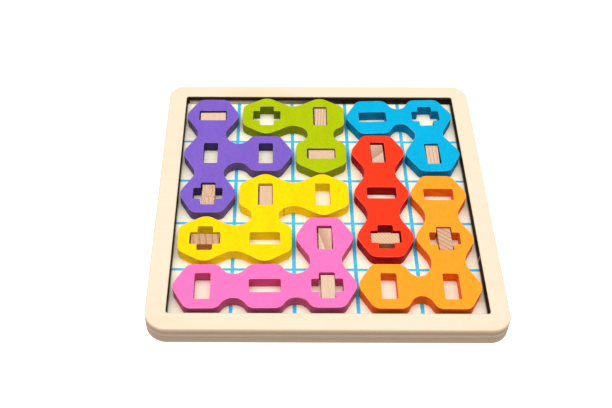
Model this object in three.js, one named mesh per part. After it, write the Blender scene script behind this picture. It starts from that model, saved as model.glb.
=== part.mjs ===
// A slot-and-peg packing puzzle: a square plywood tray of two stacked panels, seven dyed pieces
// made of linked six-sided lobes with slots through them, and the loose pegs that fill some slots.
// Millimetres, +X to the right, +Y to the back, +Z up, origin under the middle of the tray.
import * as THREE from 'three';

// Driving dimensions
const columnPitch = 36;
const rowPitch = 35.7;
const gridCells = 5;
const gridShift = [0, -1.3];
const trayWidth = 203;
const trayCornerRadii = [13, 11.5, 10.5, 10.5];
const openingWidth = columnPitch * gridCells;
const openingShift = [0.4, 0];
const openingCornerRadius = 1.5;
const panelThickness = 6;
const lobePitch = 35.43;
const lobeFlatRadius = 5.8;
const lobeTipRadius = 8;
const pieceThickness = 7.3;
const slotLength = 18.2;
const slotWidth = 9.2;
const slotRadius = 1;
const crossRadius = 0.4;
const pegLength = 16.9;
const pegWidth = 8;
const pegHeight = 6;
const pegRadius = 0.3;
const arcSteps = 3;

// Each lobe is a regular hexagon standing on a flat side, so its points look along its own X.
const tipOverHalf = 1 / Math.cos(Math.PI / 6);
const slope = Math.tan(Math.PI / 3);
const boardTop = panelThickness;
const gridMiddle = (gridCells + 1) / 2;

const paint = {
  purple: '#8a65d0',
  green: '#b8ce10',
  blue: '#00b6ea',
  red: '#ff4023',
  yellow: '#ffe400',
  pink: '#ff7ccc',
  orange: '#ffab2c',
};

// The seven pieces as they lie in the tray. home is the grid column and row of the first lobe,
// counted from the back left corner. shift and turn, in degrees, say how loosely the piece lies there.
// Each piece was cut and sanded a little differently: half is half the width of its lobes across the
// flats, and waists are the radii of its notches where two points meet and where two flats meet.
// A lobe is [columns, rows back, slot], in the piece's own axes, where the points look along X.
// quarterTurns turns a piece's own axes anticlockwise in the tray.
// A peg is [lobe number, long way in the tray, shift X, shift Y, turn].
const pieces = [
  {
    name: 'purple_t_piece', colour: 'purple', home: [1, 3], shift: [1.18, 0.36], turn: 0,
    quarterTurns: 0, half: 15.8, waists: [7.7, 8],
    lobes: [[0, 0, 'cross'], [0, 1, 'tall'], [1, 1, 'tall'], [0, 2, 'wide']],
    pegs: [[0, 'tall', 0.4, 0, 0], [3, 'wide', 0.1, 0, 1]],
  },
  {
    name: 'green_corner_piece', colour: 'green', home: [2, 1], shift: [0.96, -0.18], turn: -0.4,
    quarterTurns: 1, half: 15.9, waists: [7.3, 10],
    lobes: [[0, 0, 'cross'], [0, -1, 'wide'], [-1, -1, 'tall']],
    pegs: [[1, 'tall', 0.38, 0.35, 0], [2, 'wide', 0.4, 0.25, 0]],
  },
  {
    name: 'blue_corner_piece', colour: 'blue', home: [4, 1], shift: [-0.72, -1.18], turn: 1.8,
    quarterTurns: 0, half: 15.95, waists: [6.2, 6.5],
    lobes: [[0, 0, 'wide'], [1, 0, 'cross'], [1, -1, 'tall']],
    pegs: [[2, 'tall', 0, 0, -1]],
  },
  {
    name: 'red_bar_piece', colour: 'red', home: [4, 4], shift: [0.38, 1.62], turn: -0.1,
    quarterTurns: 0, half: 15.6, waists: [8, 12.3],
    lobes: [[0, 0, 'cross'], [0, 1, 'wide'], [0, 2, 'tall']],
    pegs: [[0, 'wide', -0.3, -0.4, 0], [2, 'tall', -0.25, -0.4, 1]],
  },
  {
    name: 'yellow_zigzag_piece', colour: 'yellow', home: [1, 4], shift: [1.38, 0.08], turn: 0.15,
    quarterTurns: 1, half: 15.85, waists: [7.1, 12.2],
    lobes: [[0, 0, 'cross'], [0, -1, 'tall'], [1, -1, 'wide'], [1, -2, 'wide']],
    pegs: [[0, 'wide', 0.2, 0.1, 0], [2, 'tall', 0.4, -0.3, 0]],
  },
  {
    name: 'pink_l_piece', colour: 'pink', home: [1, 5], shift: [1.73, 0.44], turn: 0.65,
    quarterTurns: 0, half: 15.6, waists: [8, 9],
    lobes: [[0, 0, 'tall'], [1, 0, 'wide'], [2, 0, 'cross'], [2, 1, 'tall']],
    pegs: [[2, 'tall', 0.4, -0.3, 0], [3, 'tall', 0.3, -0.35, -0.8]],
  },
  {
    name: 'orange_j_piece', colour: 'orange', home: [4, 5], shift: [-0.42, 0.89], turn: -0.3,
    quarterTurns: 0, half: 15.75, waists: [6.2, 12.8],
    lobes: [[0, 0, 'tall'], [1, 0, 'tall'], [1, 1, 'cross'], [1, 2, 'wide']],
    pegs: [[2, 'tall', 0.2, 0.4, 0]],
  },
];

// An outline from its corners [x, y, radius], anticlockwise, with every corner rounded by an arc.
function roundedShape(corners) {
  const shape = new THREE.Shape();
  corners.forEach(([x, y, radius], index) => {
    const corner = new THREE.Vector2(x, y);
    const [beforeX, beforeY] = corners.at(index - 1);
    const [afterX, afterY] = corners[(index + 1) % corners.length];
    const back = new THREE.Vector2(beforeX, beforeY).sub(corner).normalize();
    const ahead = new THREE.Vector2(afterX, afterY).sub(corner).normalize();
    const halfAngle = Math.acos(back.dot(ahead)) / 2;
    const inward = back.clone().add(ahead).normalize();
    const centre = corner.clone().addScaledVector(inward, radius / Math.sin(halfAngle));
    const start = corner.clone().addScaledVector(back, radius / Math.tan(halfAngle)).sub(centre);
    const end = corner.clone().addScaledVector(ahead, radius / Math.tan(halfAngle)).sub(centre);
    const hollow = back.cross(ahead) > 0;
    shape.absarc(centre.x, centre.y, radius, start.angle(), end.angle(), hollow);
  });
  return shape;
}

// The corners of a box from its front left one. The first radius serves for those not given.
function boxCorners(width, depth, first, second = first, third = first, fourth = first) {
  const x = width / 2;
  const y = depth / 2;
  return [[-x, -y, first], [x, -y, second], [x, y, third], [-x, y, fourth]];
}

function moved(corners, stepX, stepY) {
  return corners.map(([x, y, radius]) => [x + stepX, y + stepY, radius]);
}

// Two crossed slots: the corners of one arm, turned four times.
function crossCorners() {
  const long = slotLength / 2;
  const short = slotWidth / 2;
  const quarter = [[long, -short, slotRadius], [long, short, slotRadius], [short, short, crossRadius]];
  return [0, 1, 2, 3].flatMap((turns) => quarter.map(([x, y, radius]) => {
    const turned = new THREE.Vector2(x, y).rotateAround(new THREE.Vector2(), turns * Math.PI / 2);
    return [turned.x, turned.y, radius];
  }));
}

const slotCorners = {
  wide: boxCorners(slotLength, slotWidth, slotRadius),
  tall: boxCorners(slotWidth, slotLength, slotRadius),
  cross: crossCorners(),
};

// Sides are numbered anticlockwise: 0 right, 1 back, 2 left, 3 front. Sides 0 and 2 carry the points.
const sideWays = [[1, 0], [0, 1], [-1, 0], [0, -1]];
const nextSide = (side) => (side + 1) % 4;
const previousSide = (side) => (side + 3) % 4;
const hasPoint = (side) => side % 2 === 0;
const neighbour = ([x, y], side) => [x + sideWays[side][0], y + sideWays[side][1]];

// A place on a lobe: so far out towards a side, and so far along towards the next side.
function lobePlace([x, y], side, out, along, radius) {
  const [outX, outY] = sideWays[side];
  const [alongX, alongY] = sideWays[nextSide(side)];
  return [x * lobePitch + outX * out + alongX * along, y * lobePitch + outY * out + alongY * along, radius];
}

function freeSideCorners({ half }, lobe, side) {
  const tip = half * tipOverHalf;
  if (hasPoint(side)) return [lobePlace(lobe, side, tip, 0, lobeTipRadius)];
  return [-tip / 2, tip / 2].map((along) => lobePlace(lobe, side, half, along, lobeFlatRadius));
}

// The notch between two linked lobes, where their slanted sides cross half way between them.
function waistCorner({ half, waists }, lobe, side) {
  const tip = half * tipOverHalf;
  const middle = lobePitch / 2;
  const [pointRadius, flatRadius] = waists;
  if (hasPoint(side)) return lobePlace(lobe, side, middle, -(tip - middle) * slope, pointRadius);
  return lobePlace(lobe, side, middle, -(tip - middle / slope), flatRadius);
}

// The outline of a piece: a walk round the outside of its lobes from the left side of the leftmost one.
function pieceCorners(piece) {
  const { lobes } = piece;
  const key = ([x, y]) => `${x},${y}`;
  const filled = new Set(lobes.map(key));
  const start = lobes.reduce((left, lobe) => (lobe[0] < left[0] ? lobe : left));
  const corners = [];
  let lobe = start;
  let side = 2;
  do {
    corners.push(...freeSideCorners(piece, lobe, side));
    side = nextSide(side);
    while (filled.has(key(neighbour(lobe, side)))) {
      corners.push(waistCorner(piece, lobe, side));
      lobe = neighbour(lobe, side);
      side = previousSide(side);
    }
  } while (key(lobe) !== key(start) || side !== 2);
  return corners;
}

function plate(name, shape, thickness, colour, roughness) {
  const options = { depth: thickness, bevelEnabled: false, curveSegments: arcSteps };
  const material = new THREE.MeshStandardMaterial({ color: colour, roughness, metalness: 0 });
  const mesh = new THREE.Mesh(new THREE.ExtrudeGeometry(shape, options), material);
  mesh.name = name;
  return mesh;
}

function trayPanel(name, bottom, openings) {
  const shape = roundedShape(boxCorners(trayWidth, trayWidth, ...trayCornerRadii));
  shape.holes = openings;
  const panel = plate(name, shape, panelThickness, '#f6e3c8', 0.65);
  panel.position.z = bottom;
  return panel;
}

function piecePlace({ home: [column, row], shift: [shiftX, shiftY] }) {
  const x = (column - gridMiddle) * columnPitch + gridShift[0] + shiftX;
  const y = (gridMiddle - row) * rowPitch + gridShift[1] + shiftY;
  return new THREE.Vector3(x, y, boardTop);
}

function pieceTurn({ quarterTurns, turn }) {
  return quarterTurns * Math.PI / 2 + THREE.MathUtils.degToRad(turn);
}

function puzzlePiece(piece) {
  const shape = roundedShape(pieceCorners(piece));
  shape.holes = piece.lobes.map(([x, y, slot]) => (
    roundedShape(moved(slotCorners[slot], x * lobePitch, y * lobePitch))
  ));
  const mesh = plate(piece.name, shape, pieceThickness, paint[piece.colour], 0.45);
  mesh.rotation.z = pieceTurn(piece);
  mesh.position.copy(piecePlace(piece));
  return mesh;
}

// A peg is named after the grid column and row that it stands in.
function pegInSlot(piece, [lobeNumber, way, shiftX, shiftY, turn]) {
  const [x, y] = piece.lobes[lobeNumber];
  const place = new THREE.Vector3(x * lobePitch, y * lobePitch, 0)
    .applyAxisAngle(new THREE.Vector3(0, 0, 1), pieceTurn(piece))
    .add(piecePlace(piece));
  const column = Math.round(place.x / columnPitch + gridMiddle);
  const row = Math.round(gridMiddle - place.y / rowPitch);
  const [width, depth] = way === 'wide' ? [pegLength, pegWidth] : [pegWidth, pegLength];
  const shape = roundedShape(boxCorners(width, depth, pegRadius));
  const mesh = plate(`peg_column${column}_row${row}`, shape, pegHeight, '#e2b893', 0.7);
  mesh.position.set(place.x + shiftX, place.y + shiftY, boardTop);
  mesh.rotation.z = THREE.MathUtils.degToRad(turn);
  return mesh;
}

const openingCorners = moved(boxCorners(openingWidth, openingWidth, openingCornerRadius), ...openingShift);

const puzzle = new THREE.Group();
puzzle.add(trayPanel('base_board', 0, []));
puzzle.add(trayPanel('tray_frame', panelThickness, [roundedShape(openingCorners)]));
for (const piece of pieces) {
  puzzle.add(puzzlePiece(piece));
  for (const peg of piece.pegs) puzzle.add(pegInSlot(piece, peg));
}

export default puzzle;
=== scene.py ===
import math

import bpy
import bmesh
from mathutils import Matrix, Vector
from mathutils.geometry import tessellate_polygon


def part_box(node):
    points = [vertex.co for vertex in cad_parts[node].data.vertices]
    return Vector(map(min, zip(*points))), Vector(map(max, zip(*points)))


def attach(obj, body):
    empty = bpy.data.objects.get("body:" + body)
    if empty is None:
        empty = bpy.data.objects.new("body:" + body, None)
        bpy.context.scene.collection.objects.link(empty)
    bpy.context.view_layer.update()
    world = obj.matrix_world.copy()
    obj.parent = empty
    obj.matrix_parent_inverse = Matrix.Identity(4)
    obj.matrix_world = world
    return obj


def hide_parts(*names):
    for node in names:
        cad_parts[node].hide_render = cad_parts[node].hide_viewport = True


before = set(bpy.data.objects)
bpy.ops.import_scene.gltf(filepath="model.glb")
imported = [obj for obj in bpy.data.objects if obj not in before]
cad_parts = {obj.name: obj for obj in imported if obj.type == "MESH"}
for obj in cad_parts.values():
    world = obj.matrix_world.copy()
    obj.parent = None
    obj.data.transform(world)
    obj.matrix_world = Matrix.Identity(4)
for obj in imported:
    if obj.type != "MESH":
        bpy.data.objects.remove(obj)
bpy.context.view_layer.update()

MM = 0.001

# ---------------------------------------------------------------- sizes, in metres

column_pitch = 36 * MM
row_pitch = 35.7 * MM
grid_shift = Vector((0, -1.3)) * MM
wide_line = 2.25 * MM
narrow_line = 1.85 * MM

tray_outer_rounding = 0.9 * MM
tray_small_rounding = 0.25 * MM
piece_rounding = 0.45 * MM
slot_rounding = 0.3 * MM
peg_rounding = 0.22 * MM
rounding_steps = 4
arc_step = math.radians(7)
# Points this near are one, a face this near the top is the top, and chords whose lengths differ by no more
# than this share belong to one arc.
weld_distance = 0.001 * MM
level_slack = 0.01 * MM
chord_slack = 0.02

# ---------------------------------------------------------------- camera, as the photographer stood

view_azimuth = math.radians(0.08)
view_elevation = math.radians(47.70)
view_roll = math.radians(0.15)
camera_place = Vector((-28.5, -393.5, 435.7)) * MM
camera_lens = 55.07
camera_sensor = 36
camera_shift = (0.050, -0.0013)


def make_camera():
    data = bpy.data.cameras.new("camera")
    data.lens = camera_lens
    data.sensor_width = camera_sensor
    data.shift_x, data.shift_y = camera_shift
    data.clip_start = 0.01
    camera = bpy.data.objects.new("camera", data)
    bpy.context.collection.objects.link(camera)
    back = Vector((
        math.sin(view_azimuth) * math.cos(view_elevation),
        -math.cos(view_azimuth) * math.cos(view_elevation),
        math.sin(view_elevation),
    ))
    right = Vector((0, 0, 1)).cross(back).normalized()
    up = back.cross(right)
    tilted_right = right * math.cos(view_roll) + up * math.sin(view_roll)
    tilted_up = up * math.cos(view_roll) - right * math.sin(view_roll)
    turn = Matrix((tilted_right, tilted_up, back)).transposed()
    camera.matrix_world = Matrix.Translation(camera_place) @ turn.to_4x4()
    bpy.context.scene.camera = camera


# ---------------------------------------------------------------- studio

key_width = 3.0
key_depth = 1.2
key_height = 1.3
key_power = 29
sky_strength = 0.5
light_table = 0.6
floor_size = 8
# How bright these lights make a white surface, where 1 is the screen's white.
level_light = 1.4
upright_light = 0.56
wall_light = 0.47


def make_studio():
    key = bpy.data.lights.new("overhead_softbox", "AREA")
    key.shape = "RECTANGLE"
    key.size = key_width
    key.size_y = key_depth
    key.energy = key_power
    lamp = bpy.data.objects.new("overhead_softbox", key)
    lamp.location = (0, 0, key_height)
    bpy.context.collection.objects.link(lamp)

    world = bpy.data.worlds.new("white_room")
    world.use_nodes = True
    background = world.node_tree.nodes["Background"]
    background.inputs["Color"].default_value = (1, 1, 1, 1)
    background.inputs["Strength"].default_value = sky_strength
    bpy.context.scene.world = world
    bpy.context.scene.view_settings.view_transform = "Standard"

    bpy.ops.mesh.primitive_plane_add(size=floor_size, location=(0, 0, -0.1 * MM))
    floor = bpy.context.object
    floor.name = "studio_floor"
    paper = Look("white_paper")
    paper.surface.inputs["Base Color"].default_value = (0.93, 0.93, 0.93, 1)
    paper.surface.inputs["Roughness"].default_value = 0.9
    paper.surface.inputs["Emission Color"].default_value = (1, 1, 1, 1)
    paper.surface.inputs["Emission Strength"].default_value = light_table
    floor.data.materials.append(paper.material)
    floor.visible_diffuse = False
    floor.visible_glossy = False


# ---------------------------------------------------------------- a short way to write node materials


# A face whose direction has at least this much up or down in it is level, and one with at most this, upright.
level_normal = 0.75
upright_normal = 0.3


class Look:
    """A material and the few kinds of node this scene uses. An argument is a number, a tuple or a socket."""

    def __init__(self, name):
        self.material = bpy.data.materials.new(name)
        self.material.use_nodes = True
        self.tree = self.material.node_tree
        self.surface = self.tree.nodes["Principled BSDF"]
        self.object_place = None

    def node(self, kind, inputs, **settings):
        made = self.tree.nodes.new(kind)
        for name, value in settings.items():
            setattr(made, name, value)
        for socket, value in inputs.items():
            self.plug(made.inputs[socket], value)
        return made

    def plug(self, socket, value):
        if isinstance(value, bpy.types.NodeSocket):
            self.tree.links.new(value, socket)
        elif isinstance(value, tuple) and len(value) == 3 and socket.type == "RGBA":
            socket.default_value = (*value, 1)
        else:
            socket.default_value = value

    def place(self):
        if self.object_place is None:
            self.object_place = self.node("ShaderNodeTexCoord", {})
        return self.object_place.outputs["Object"]

    def facing(self):
        self.place()
        return self.split(self.object_place.outputs["Normal"])

    def upright(self):
        """1 on upright faces, 0 on level ones, and smooth between them."""
        return self.rise(self.math("ABSOLUTE", self.facing()[2]), level_normal, upright_normal)

    def shade(self, name):
        """A value that the mesh holds at each point."""
        return self.node("ShaderNodeAttribute", {}, attribute_name=name).outputs["Fac"]

    def split(self, vector):
        return self.node("ShaderNodeSeparateXYZ", {0: vector}).outputs

    def math(self, operation, first, second=0.0, third=0.0):
        return self.node("ShaderNodeMath", {0: first, 1: second, 2: third}, operation=operation).outputs[0]

    def cells(self, cell, angle=0.0, offset=(0.0, 0.0, 0.0)):
        """Object places counted in cells of this size, with the first side turned by angle about Z."""
        inputs = {"Vector": self.place(), "Location": offset, "Rotation": (0, 0, angle), "Scale": cell}
        return self.node("ShaderNodeMapping", inputs, vector_type="TEXTURE").outputs[0]

    def noise(self, place, detail=2.0, roughness=0.5):
        inputs = {"Vector": place, "Scale": 1.0, "Detail": detail, "Roughness": roughness, "Distortion": 0.0}
        return self.node("ShaderNodeTexNoise", inputs).outputs["Fac"]

    def waves(self, place, distortion):
        """Bands across X, one to each unit of place."""
        inputs = {"Vector": place, "Scale": math.pi / 10, "Distortion": distortion}
        inputs.update({"Detail": 2.0, "Detail Scale": 1.5})
        return self.node("ShaderNodeTexWave", inputs, wave_profile="SAW").outputs["Fac"]

    def rise(self, value, low, high):
        """0 below low, 1 above high, and smooth between them. It falls instead where low is above high."""
        inputs = {"Value": value, "From Min": low, "From Max": high}
        return self.node("ShaderNodeMapRange", inputs, interpolation_type="SMOOTHSTEP").outputs[0]

    def mix(self, factor, first, second, blend="MIX"):
        inputs = {0: factor, 6: first, 7: second}
        return self.node("ShaderNodeMix", inputs, data_type="RGBA", blend_type=blend).outputs[2]

    def ramp(self, value, stops):
        made = self.node("ShaderNodeValToRGB", {"Fac": value})
        band = made.color_ramp
        while len(band.elements) < len(stops):
            band.elements.new(0.5)
        for element, (place, colour) in zip(band.elements, stops):
            element.position = place
            element.color = (*colour, 1)
        return made.outputs[0]

    def finish(self, colour, roughness, height, depth, specular):
        self.plug(self.surface.inputs["Base Color"], colour)
        self.plug(self.surface.inputs["Roughness"], roughness)
        self.surface.inputs["Specular IOR Level"].default_value = specular
        bump = self.node("ShaderNodeBump", {"Height": height, "Distance": depth, "Strength": 0.5})
        self.plug(self.surface.inputs["Normal"], bump.outputs[0])
        return self.material


def seen(red, green, blue, light=level_light):
    """The colour of a surface that this much light makes look like this screen colour, 255 for white."""
    def linear(part):
        part /= 255
        return part / 12.92 if part <= 0.04045 else ((part + 0.055) / 1.055) ** 2.4
    return tuple(min(linear(part) / light, 0.95) for part in (red, green, blue))


def times(colour, factor):
    return tuple(min(part * factor, 1) for part in colour)


def tinted(colour, tint):
    return tuple(part * share for part, share in zip(colour, tint))


# ---------------------------------------------------------------- materials

# How much of bare beech's red, green and blue its dark growth lines give back, and the warmer tint of its
# sawn sides, which is partly the wood's own and partly painted shade with the warm light the slot walls
# reflect.
latewood = (0.57, 0.38, 0.27)
side_tint_and_shade = (1.0, 0.68, 0.34)


def dyed_wood(name, top, side, slot, grain, speckle, offset):
    """Dye on fine-grained wood: faint mottling and short pores on top; walls in deeper, duller copies of the
    dye that hold painted shade, darker again in the slots; and a pale painted highlight, mixed with wear,
    along the rounded top edges.
    """
    look = Look(name)
    streaks = look.noise(look.cells((2.5 * MM, 0.8 * MM, 0.8 * MM), grain, offset), 3, 0.7)
    clouds = look.noise(look.cells((30 * MM, 9 * MM, 9 * MM), grain, offset), 3, 0.6)
    pores = look.noise(look.cells((0.9 * MM, 0.6 * MM, 0.6 * MM), grain, offset), 2, 0.7)
    pores = look.rise(pores, 0.60, 0.74)
    tone = look.math("ADD", look.math("MULTIPLY", streaks, 0.7), look.math("MULTIPLY", clouds, 0.3))
    face = look.mix(look.rise(tone, 0.38, 0.62), times(top, 0.925), times(top, 1.06))
    face = look.mix(look.math("MULTIPLY", pores, speckle), face, times(top, 0.5))

    layers = look.noise(look.cells((8 * MM, 8 * MM, 0.28 * MM), 0, offset), 3, 0.6)
    layer = look.rise(layers, 0.35, 0.65)
    # Painted shade: darker copies of the dye on the walls, and in the slots their own, mostly darker copies.
    wall = look.mix(look.shade("slot_wall"), side, slot)
    wall = look.mix(1.0, wall, look.mix(layer, (0.8, 0.8, 0.8), (1.2, 1.2, 1.2)), "MULTIPLY")
    upright = look.upright()
    colour = look.mix(upright, face, wall)
    # Painted highlight mixed with wear: a pale line on the rounded top edges, patchy along the clouds.
    rubbed_and_highlit = look.math("MULTIPLY", look.shade("edge"), look.rise(clouds, 0.3, 0.65))
    worn_and_highlight = tuple(part + 0.25 for part in times(top, 1.2))
    colour = look.mix(look.math("MULTIPLY", rubbed_and_highlit, 0.33), colour, worn_and_highlight)
    roughness = look.math("MULTIPLY_ADD", streaks, 0.2, 0.38)
    height = look.math("SUBTRACT", streaks, look.math("MULTIPLY", pores, 0.8))
    return look.finish(colour, roughness, height, 0.03 * MM, specular=0.05)


def beech(name, tone, ring_place, ring_angle, ring_gap, ring_depth, line_start, fleck_depth, grain, offset):
    """Bare beech with flecks along the grain, and sides that are browner and warmer, partly in the wood and
    partly as painted shade and painted reflected light from the slot walls. Its growth rings start at
    ring_place and each one darkens after the share line_start of its width."""
    look = Look(name)
    rings = look.waves(look.cells((ring_gap, 20 * MM, 20 * MM), ring_angle, ring_place), 0.8)
    rings = look.rise(rings, line_start, 1.0)
    fibres = look.noise(look.cells((5 * MM, 0.5 * MM, 0.5 * MM), grain, offset), 3, 0.7)
    flecks = look.noise(look.cells((1.8 * MM, 0.55 * MM, 0.55 * MM), grain, offset), 2, 0.6)
    flecks = look.rise(flecks, 0.50, 0.66)
    browned = tinted(tone, latewood)
    colour = look.mix(look.math("MULTIPLY", rings, ring_depth), tone, browned)
    colour = look.mix(look.math("MULTIPLY", look.rise(fibres, 0.4, 0.65), 0.15), colour, browned)
    colour = look.mix(look.math("MULTIPLY", flecks, fleck_depth), colour, browned)
    upright = look.upright()
    # Painted shade and reflected slot-wall light, with the sawn wood's own warmer tone, on the sides.
    sawn = look.mix(look.rise(fibres, 0.35, 0.7), tinted(tone, side_tint_and_shade), browned)
    colour = look.mix(upright, colour, sawn)
    colour = look.mix(look.math("MULTIPLY", look.shade("edge"), 0.4), colour, browned)
    roughness = look.math("MULTIPLY_ADD", fibres, 0.2, 0.55)
    height = look.math("SUBTRACT", fibres, flecks)
    return look.finish(colour, roughness, height, 0.06 * MM, specular=0.2)


def birch_face(look, tone, offset):
    """A sanded birch veneer: very pale, with faint long streaks, clouds and a few short darker flecks."""
    streaks = look.noise(look.cells((40 * MM, 1.1 * MM, 1.1 * MM), 0, offset), 4, 0.6)
    clouds = look.noise(look.cells((45 * MM, 16 * MM, 16 * MM), 0, offset), 3, 0.5)
    flecks = look.rise(look.noise(look.cells((2.2 * MM, 0.35 * MM, 0.35 * MM), 0, offset), 1), 0.66, 0.76)
    colour = look.mix(look.rise(streaks, 0.3, 0.7), times(tone, 0.985), times(tone, 1.01))
    colour = look.mix(look.math("MULTIPLY", look.rise(clouds, 0.5, 0.8), 0.5), colour, seen(252, 226, 186))
    colour = look.mix(look.math("MULTIPLY", flecks, 0.25), colour, seen(232, 200, 160))
    return colour, streaks, flecks


def ply_edge(look, bottom, bands, offset):
    """The sanded edge of the sheet: bands of veneer up its height, each with fine streaks of its own."""
    height = look.math("DIVIDE", look.math("SUBTRACT", look.split(look.place())[2], bottom), panel_height)
    wobble = look.noise(look.cells((14 * MM, 14 * MM, 3 * MM), 0, offset), 2)
    height = look.math("ADD", height, look.math("MULTIPLY", look.math("SUBTRACT", wobble, 0.5), 0.06))
    colour = look.ramp(height, bands)
    streaks = look.noise(look.cells((5 * MM, 5 * MM, 0.22 * MM), 0, offset), 3, 0.65)
    return look.mix(look.rise(streaks, 0.3, 0.7), times_socket(look, colour, 0.88), colour), streaks


def times_socket(look, colour, factor):
    return look.mix(1.0, colour, (factor, factor, factor), "MULTIPLY")


def ply_tone(red, green, blue):
    return seen(red, green, blue, upright_light)


panel_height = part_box("base_board")[1][2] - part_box("base_board")[0][2]
window_half = 90 * MM
window_shift = 0.4 * MM
rail_inner_part = 1.5 * MM
# The laser left a thin tab of wood uncut on the right wall of the window.
uncut_tab_y = -48.2 * MM
frame_bands = (
    (0.0, ply_tone(184, 162, 137)), (0.17, ply_tone(185, 165, 140)), (0.40, ply_tone(160, 138, 117)),
    (0.58, ply_tone(166, 145, 123)), (0.75, ply_tone(183, 155, 129)), (1.0, ply_tone(262, 208, 172)),
)
board_bands = (
    (0.0, ply_tone(175, 155, 133)), (0.5, ply_tone(171, 150, 127)), (0.70, ply_tone(165, 143, 122)),
    (0.85, ply_tone(169, 148, 126)), (1.0, ply_tone(178, 157, 133)),
)


def window_reach(look):
    """How far a place lies from the middle of the window along X or along Y, whichever is more."""
    x, y, _ = look.split(look.place())
    across = look.math("ABSOLUTE", look.math("SUBTRACT", x, window_shift))
    return look.math("MAXIMUM", across, look.math("ABSOLUTE", y))


def frame_look():
    """The window panel: birch faces, sanded outer edge, and window walls browned and charred by the laser."""
    offset = (0.31, 0.12, 0.05)
    look = Look("tray_frame_birch_ply")
    face, streaks, flecks = birch_face(look, seen(255, 239, 211), offset)
    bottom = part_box("tray_frame")[0][2]
    edge, layers = ply_edge(look, bottom, frame_bands, offset)
    x, y, z = look.split(look.place())
    reach = window_reach(look)
    side = look.upright()
    inside = look.math("LESS_THAN", reach, window_half + rail_inner_part)

    height = look.math("DIVIDE", look.math("SUBTRACT", z, bottom), panel_height)
    char = look.ramp(height, (
        (0.0, (0.028, 0.015, 0.008)), (0.25, (0.014, 0.008, 0.005)), (0.50, (0.007, 0.004, 0.003)),
        (0.72, (0.022, 0.011, 0.006)), (0.86, (0.060, 0.030, 0.015)), (1.0, (0.19, 0.105, 0.055)),
    ))
    singed = look.noise(look.cells((7 * MM, 7 * MM, 0.35 * MM), 0, offset), 3, 0.65)
    char = look.mix(look.rise(singed, 0.55, 0.75), char, (0.085, 0.045, 0.025))
    from_tab = look.math("ABSOLUTE", look.math("SUBTRACT", y, uncut_tab_y))
    on_right_wall = look.math("GREATER_THAN", x, window_half)
    tab = look.math("MULTIPLY", look.rise(from_tab, 0.8 * MM, 0.3 * MM), on_right_wall)
    char = look.mix(tab, char, (0.50, 0.32, 0.16))
    edge = look.mix(inside, edge, char)

    rim = look.rise(reach, window_half + 0.9 * MM, window_half)
    smoke = look.noise(look.cells((3 * MM, 3 * MM, 3 * MM), 0, offset), 3)
    haze = look.math("MULTIPLY", rim, look.rise(smoke, 0.25, 0.8))
    face = look.mix(look.math("MULTIPLY", haze, 0.45), face, seen(196, 150, 104))
    colour = look.mix(side, face, edge)
    # Painted shade, with the sanded veneer's tan: the rounded top edge of the front turns darker and warmer.
    front_rim_tan_and_shade = look.math("MULTIPLY", look.shade("edge"), look.math("SUBTRACT", 1.0, look.shade("slot_wall")))
    front_rim_tan_and_shade = look.math("MULTIPLY", front_rim_tan_and_shade, look.rise(look.facing()[1], -0.1, -0.4))
    colour = look.mix(look.math("MULTIPLY", front_rim_tan_and_shade, 0.7), colour, seen(250, 196, 150))
    burnt_line = look.math("MULTIPLY", look.shade("edge"), look.shade("slot_wall"))
    colour = look.mix(look.math("MULTIPLY", burnt_line, 0.75), colour, seen(112, 78, 54))
    sanded = look.math("MULTIPLY_ADD", streaks, 0.2, 0.45)
    roughness = look.math("MAXIMUM", sanded, look.math("MULTIPLY", inside, side))
    bumps = look.math("MULTIPLY_ADD", side, layers, look.math("SUBTRACT", streaks, flecks))
    return look.finish(colour, roughness, bumps, 0.04 * MM, specular=0.15)


def ink_lines(look, across, pitch, width):
    """1 on the four lines that cut one way through the board, with the soft ragged edge of a print."""
    off = look.math("PINGPONG", look.math("ADD", across, pitch / 2), pitch / 2)
    within = look.math("LESS_THAN", look.math("ABSOLUTE", across), pitch * 2)
    ragged = look.noise(look.cells((0.7 * MM, 0.7 * MM, 0.7 * MM), 0, (pitch, 0.4, 0.2)), 2)
    off = look.math("ADD", off, look.math("MULTIPLY", look.math("SUBTRACT", ragged, 0.5), 0.55 * MM))
    line = look.rise(off, width / 2 + 0.12 * MM, width / 2 - 0.12 * MM)
    return look.math("MULTIPLY", line, within)


def board_look():
    """The bottom panel: the same ply, with sky-blue lines printed on its top."""
    offset = (0.07, 0.23, 0.11)
    look = Look("base_board_birch_ply")
    face, streaks, flecks = birch_face(look, seen(283, 273, 249), offset)
    edge, layers = ply_edge(look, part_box("base_board")[0][2], board_bands, offset)
    x, y, z = look.split(look.place())
    x = look.math("SUBTRACT", x, grid_shift.x)
    y = look.math("SUBTRACT", y, grid_shift.y)
    upright = ink_lines(look, x, column_pitch, wide_line)
    level = ink_lines(look, y, row_pitch, narrow_line)
    ink = look.math("MULTIPLY", look.math("MAXIMUM", upright, level), look.rise(look.facing()[2], 0.5, 0.9))
    cover = look.rise(look.noise(look.cells((1.6 * MM, 0.3 * MM, 0.3 * MM), 0, offset), 2), 0.2, 0.5)
    cover = look.math("MULTIPLY_ADD", cover, 0.25, 0.75)
    blue = look.mix(look.rise(streaks, 0.3, 0.7), seen(28, 194, 243), seen(64, 214, 260))
    face = look.mix(look.math("MULTIPLY", ink, cover), face, blue)
    # Painted contact shadow with some char soot: a dark line on the board along the foot of the window walls.
    soot_and_joint_shadow = look.rise(window_reach(look), window_half - 1.0 * MM, window_half)
    face = look.mix(look.math("MULTIPLY", soot_and_joint_shadow, 0.85), face, (0.05, 0.025, 0.012))
    side = look.upright()
    colour = look.mix(side, face, edge)
    roughness = look.math("MULTIPLY_ADD", streaks, 0.2, 0.5)
    bumps = look.math("MULTIPLY_ADD", side, layers, look.math("SUBTRACT", streaks, flecks))
    return look.finish(colour, roughness, bumps, 0.04 * MM, specular=0.35)


# ---------------------------------------------------------------- plates with softened edges


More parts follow.
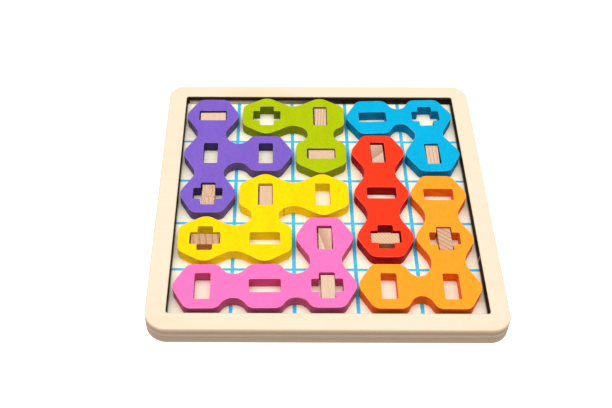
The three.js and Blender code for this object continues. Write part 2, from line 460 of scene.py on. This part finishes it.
def outlines(node):
    """The outlines of a node's flat top, as closed lists of points: the outer one first, then its holes."""
    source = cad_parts[node].data
    mesh = bmesh.new()
    mesh.from_mesh(source)
    bmesh.ops.remove_doubles(mesh, verts=mesh.verts, dist=weld_distance)
    top = max(vert.co.z for vert in mesh.verts)
    ups = [face for face in mesh.faces if face.normal.z > 0.9]
    level = {face for face in ups if abs(face.verts[0].co.z - top) < level_slack}
    after = {}
    for face in level:
        for loop in face.loops:
            if any(other not in level for other in loop.edge.link_faces):
                after[loop.vert] = loop.link_loop_next.vert
    found = []
    while after:
        start, vert = after.popitem()
        loop = [start.co.xy.copy()]
        while vert is not start:
            loop.append(vert.co.xy.copy())
            vert = after.pop(vert)
        found.append(loop)
    mesh.free()
    return sorted(found, key=width)[::-1]


def width(points):
    return max(point.x for point in points) - min(point.x for point in points)


def with_arcs(points):
    """The outline as pairs of a place and its outward normal, with fine arcs instead of their few chords."""
    count = len(points)
    ways = [points[(i + 1) % count] - points[i] for i in range(count)]
    alike = [abs(ways[i].length / ways[i - 1].length - 1) < chord_slack for i in range(count)]
    turns = [-ways[i - 1].angle_signed(ways[i]) if alike[i] else 0 for i in range(count)]
    made = []
    for i in range(count):
        bend = max(turns[i], turns[(i + 1) % count], key=abs)
        steps = max(1, math.ceil(abs(bend) / arc_step))
        ahead = Matrix.Rotation(-bend / 2, 2) @ ways[i].normalized()
        for k in range(steps):
            angle = bend * k / steps
            reach = ways[i].length * math.sin(angle / 2) / math.sin(bend / 2) if k else 0
            place = points[i] + Matrix.Rotation(angle / 2, 2) @ ahead * reach
            tangent = Matrix.Rotation(angle, 2) @ ahead
            made.append((place, Vector((tangent.y, -tangent.x))))
    return made


def plate(name, node, outer_top, hole_top, bottom_rounding):
    """A finer copy of a flat CAD node, with its top and bottom edges rounded, in place of that node."""
    low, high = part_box(node)[0][2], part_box(node)[1][2]
    loops = [with_arcs(points) for points in outlines(node)]
    verts, normals, faces, rounded_edge_share, slot_wall = [], [], [], [], []
    top_rings, bottom_rings = [], []
    for number, loop in enumerate(loops):
        top_round = outer_top if number == 0 else hole_top
        low_round = min(bottom_rounding, top_round)
        rings = []
        for rounding, end, way in ((low_round, low, -1), (top_round, high, 1)):
            for k in range(rounding_steps + 1):
                angle = math.pi / 2 * (k if way > 0 else rounding_steps - k) / rounding_steps
                inset = rounding * (1 - math.cos(angle))
                height = end - way * rounding * (1 - math.sin(angle))
                rings.append(range(len(verts), len(verts) + len(loop)))
                for point, outward in loop:
                    place = point - outward * inset
                    flat = outward * math.cos(angle)
                    verts.append((place.x, place.y, height))
                    normals.append((flat.x, flat.y, way * math.sin(angle)))
                    # Midway round each top rounding this share is 1; the materials paint wear, char, a pale
                    # highlight and shade with it.
                    rounded_edge_share.append(math.sin(2 * angle) if way > 0 else 0.0)
                    slot_wall.append(0.0 if number == 0 else 1.0)
        for lower, upper in zip(rings, rings[1:]):
            for i in range(len(loop)):
                j = (i + 1) % len(loop)
                faces.append((lower[i], lower[j], upper[j], upper[i]))
        bottom_rings.append(rings[0])
        top_rings.append(rings[-1])
    for rings, upward in ((top_rings, True), (bottom_rings, False)):
        numbers = [index for ring in rings for index in ring]
        outline = [[Vector(verts[index]) for index in ring] for ring in rings]
        for triangle in tessellate_polygon(outline):
            corners = [numbers[index] for index in triangle]
            side = normal_z([verts[index] for index in corners])
            faces.append(tuple(corners if (side > 0) == upward else corners[::-1]))
    return mesh_object(name, verts, faces, normals, {"edge": rounded_edge_share, "slot_wall": slot_wall})


def normal_z(corners):
    (ax, ay, _), (bx, by, _), (cx, cy, _) = corners
    return (bx - ax) * (cy - ay) - (by - ay) * (cx - ax)


def mesh_object(name, verts, faces, normals, shades):
    data = bpy.data.meshes.new(name)
    data.from_pydata(verts, [], faces)
    data.polygons.foreach_set("use_smooth", [True] * len(faces))
    for shade, values in shades.items():
        data.attributes.new(shade, "FLOAT", "POINT").data.foreach_set("value", values)
    data.normals_split_custom_set_from_vertices(normals)
    piece = bpy.data.objects.new(name, data)
    bpy.context.collection.objects.link(piece)
    return piece


# ---------------------------------------------------------------- the toy

# Each dye on the sanded top, on the outer walls and inside the slots, the way the grain runs in degrees, and
# how strongly the pores show. The wall and slot colours are darker, duller copies of the dye that hold
# painted shade and painted bounce light between the walls, the slots mostly darker again as recesses.
dyes = {
    "purple": (seen(136, 102, 210), seen(69, 53, 92, wall_light), seen(49, 34, 78, wall_light), 90, 0.25),
    "green": (seen(188, 208, 0), seen(92, 98, 0, wall_light), seen(75, 86, 0, wall_light), 90, 0.15),
    "blue": (seen(0, 188, 237), seen(0, 84, 116, wall_light), seen(0, 80, 110, wall_light), 92, 0.12),
    "red": (seen(275, 62, 30), seen(113, 0, 0, wall_light), seen(111, 0, 0, wall_light), 88, 0.12),
    "yellow": (seen(285, 231, 0), seen(201, 147, 0, wall_light), seen(162, 138, 0, wall_light), 90, 0.15),
    "pink": (seen(280, 127, 203), seen(140, 58, 85, wall_light), seen(144, 51, 88, wall_light), 0, 0.2),
    "orange": (seen(285, 173, 42), seen(170, 70, 6, wall_light), seen(162, 73, 0, wall_light), 91, 0.35),
}

# Each peg was cut from the stick at its own angle: the tone, then the ring angle, how far one ring edge is
# from the peg's middle, the ring gap, the ring depth and where in a ring its dark line starts, then the
# fleck depth and the grain angle.
pegs = {
    "peg_column1_row1": (seen(248, 213, 183), 0, 1.0, 4.0, 0.05, 0.2, 0.03, 90),
    "peg_column1_row3": (seen(240, 203, 172), 3, 0.5, 2.2, 0.20, 0.3, 0.85, 90),
    "peg_column1_row4": (seen(228, 181, 140), 7, 0.8, 3.8, 0.75, 0.5, 0.60, 97),
    "peg_column2_row3": (seen(243, 205, 169), 0, 1.0, 4.4, 0.06, 0.2, 0.10, 90),
    "peg_column3_row1": (seen(248, 214, 179), -4, 0.6, 1.9, 0.60, 0.2, 0.08, 90),
    "peg_column3_row2": (seen(248, 210, 176), 0, 0.2, 1.0, 0.20, 0.2, 0.12, 90),
    "peg_column3_row4": (seen(248, 212, 184), 196, 2.2, 8.5, 0.65, 0.0, 0.45, 106),
    "peg_column3_row5": (seen(246, 211, 182), 0, 1.0, 4.2, 0.05, 0.2, 0.04, 90),
    "peg_column4_row2": (seen(241, 203, 180), -48, 1.2, 14.0, 0.70, 0.0, 0.15, 42),
    "peg_column4_row4": (seen(248, 206, 168), 34, 0.3, 1.7, 0.50, 0.4, 0.15, 124),
    "peg_column5_row2": (seen(244, 209, 181), 1, 0.6, 2.3, 0.75, 0.7, 0.20, 91),
    "peg_column5_row4": (seen(234, 190, 154), 53, 0.5, 2.7, 0.95, 0.6, 0.35, 143),
}


def put(piece, body, node, material):
    piece.data.materials.append(material)
    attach(piece, body)
    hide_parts(node)


def make_tray():
    board = plate("tray_bottom_panel", "base_board", tray_small_rounding, 0, tray_outer_rounding)
    put(board, "tray", "base_board", board_look())
    window = plate("tray_window_panel", "tray_frame", tray_outer_rounding, tray_small_rounding, 0)
    put(window, "tray", "tray_frame", frame_look())


def make_pieces():
    for number, (colour, (top, side, slot, grain, speckle)) in enumerate(dyes.items()):
        node = next(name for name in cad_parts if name.startswith(colour))
        piece = plate(f"{colour}_dyed_piece", node, piece_rounding, slot_rounding, piece_rounding)
        offset = (0.11 * number, 0.07 * number, 0.05 * number)
        look = dyed_wood(f"{colour}_dyed_wood", top, side, slot, math.radians(grain), speckle, offset)
        put(piece, node, node, look)


def make_pegs():
    for number, (node, spec) in enumerate(pegs.items()):
        tone, angle, shift, gap, depth, line_start, fleck_depth, grain = spec
        peg = plate(f"beech_{node}", node, peg_rounding, 0, peg_rounding)
        low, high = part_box(node)
        turn = math.radians(angle)
        ring_x = (low[0] + high[0]) / 2 + math.cos(turn) * shift * MM
        ring_y = (low[1] + high[1]) / 2 + math.sin(turn) * shift * MM
        rings = ((ring_x, ring_y, 0.0), turn, gap * MM, depth, line_start)
        offset = (0.013 * number, 0.017 * number, 0.003 * number)
        look = beech(f"beech_{node}", tone, *rings, fleck_depth, math.radians(grain), offset)
        put(peg, node, node, look)


make_camera()
make_studio()
make_tray()
make_pieces()
make_pegs()
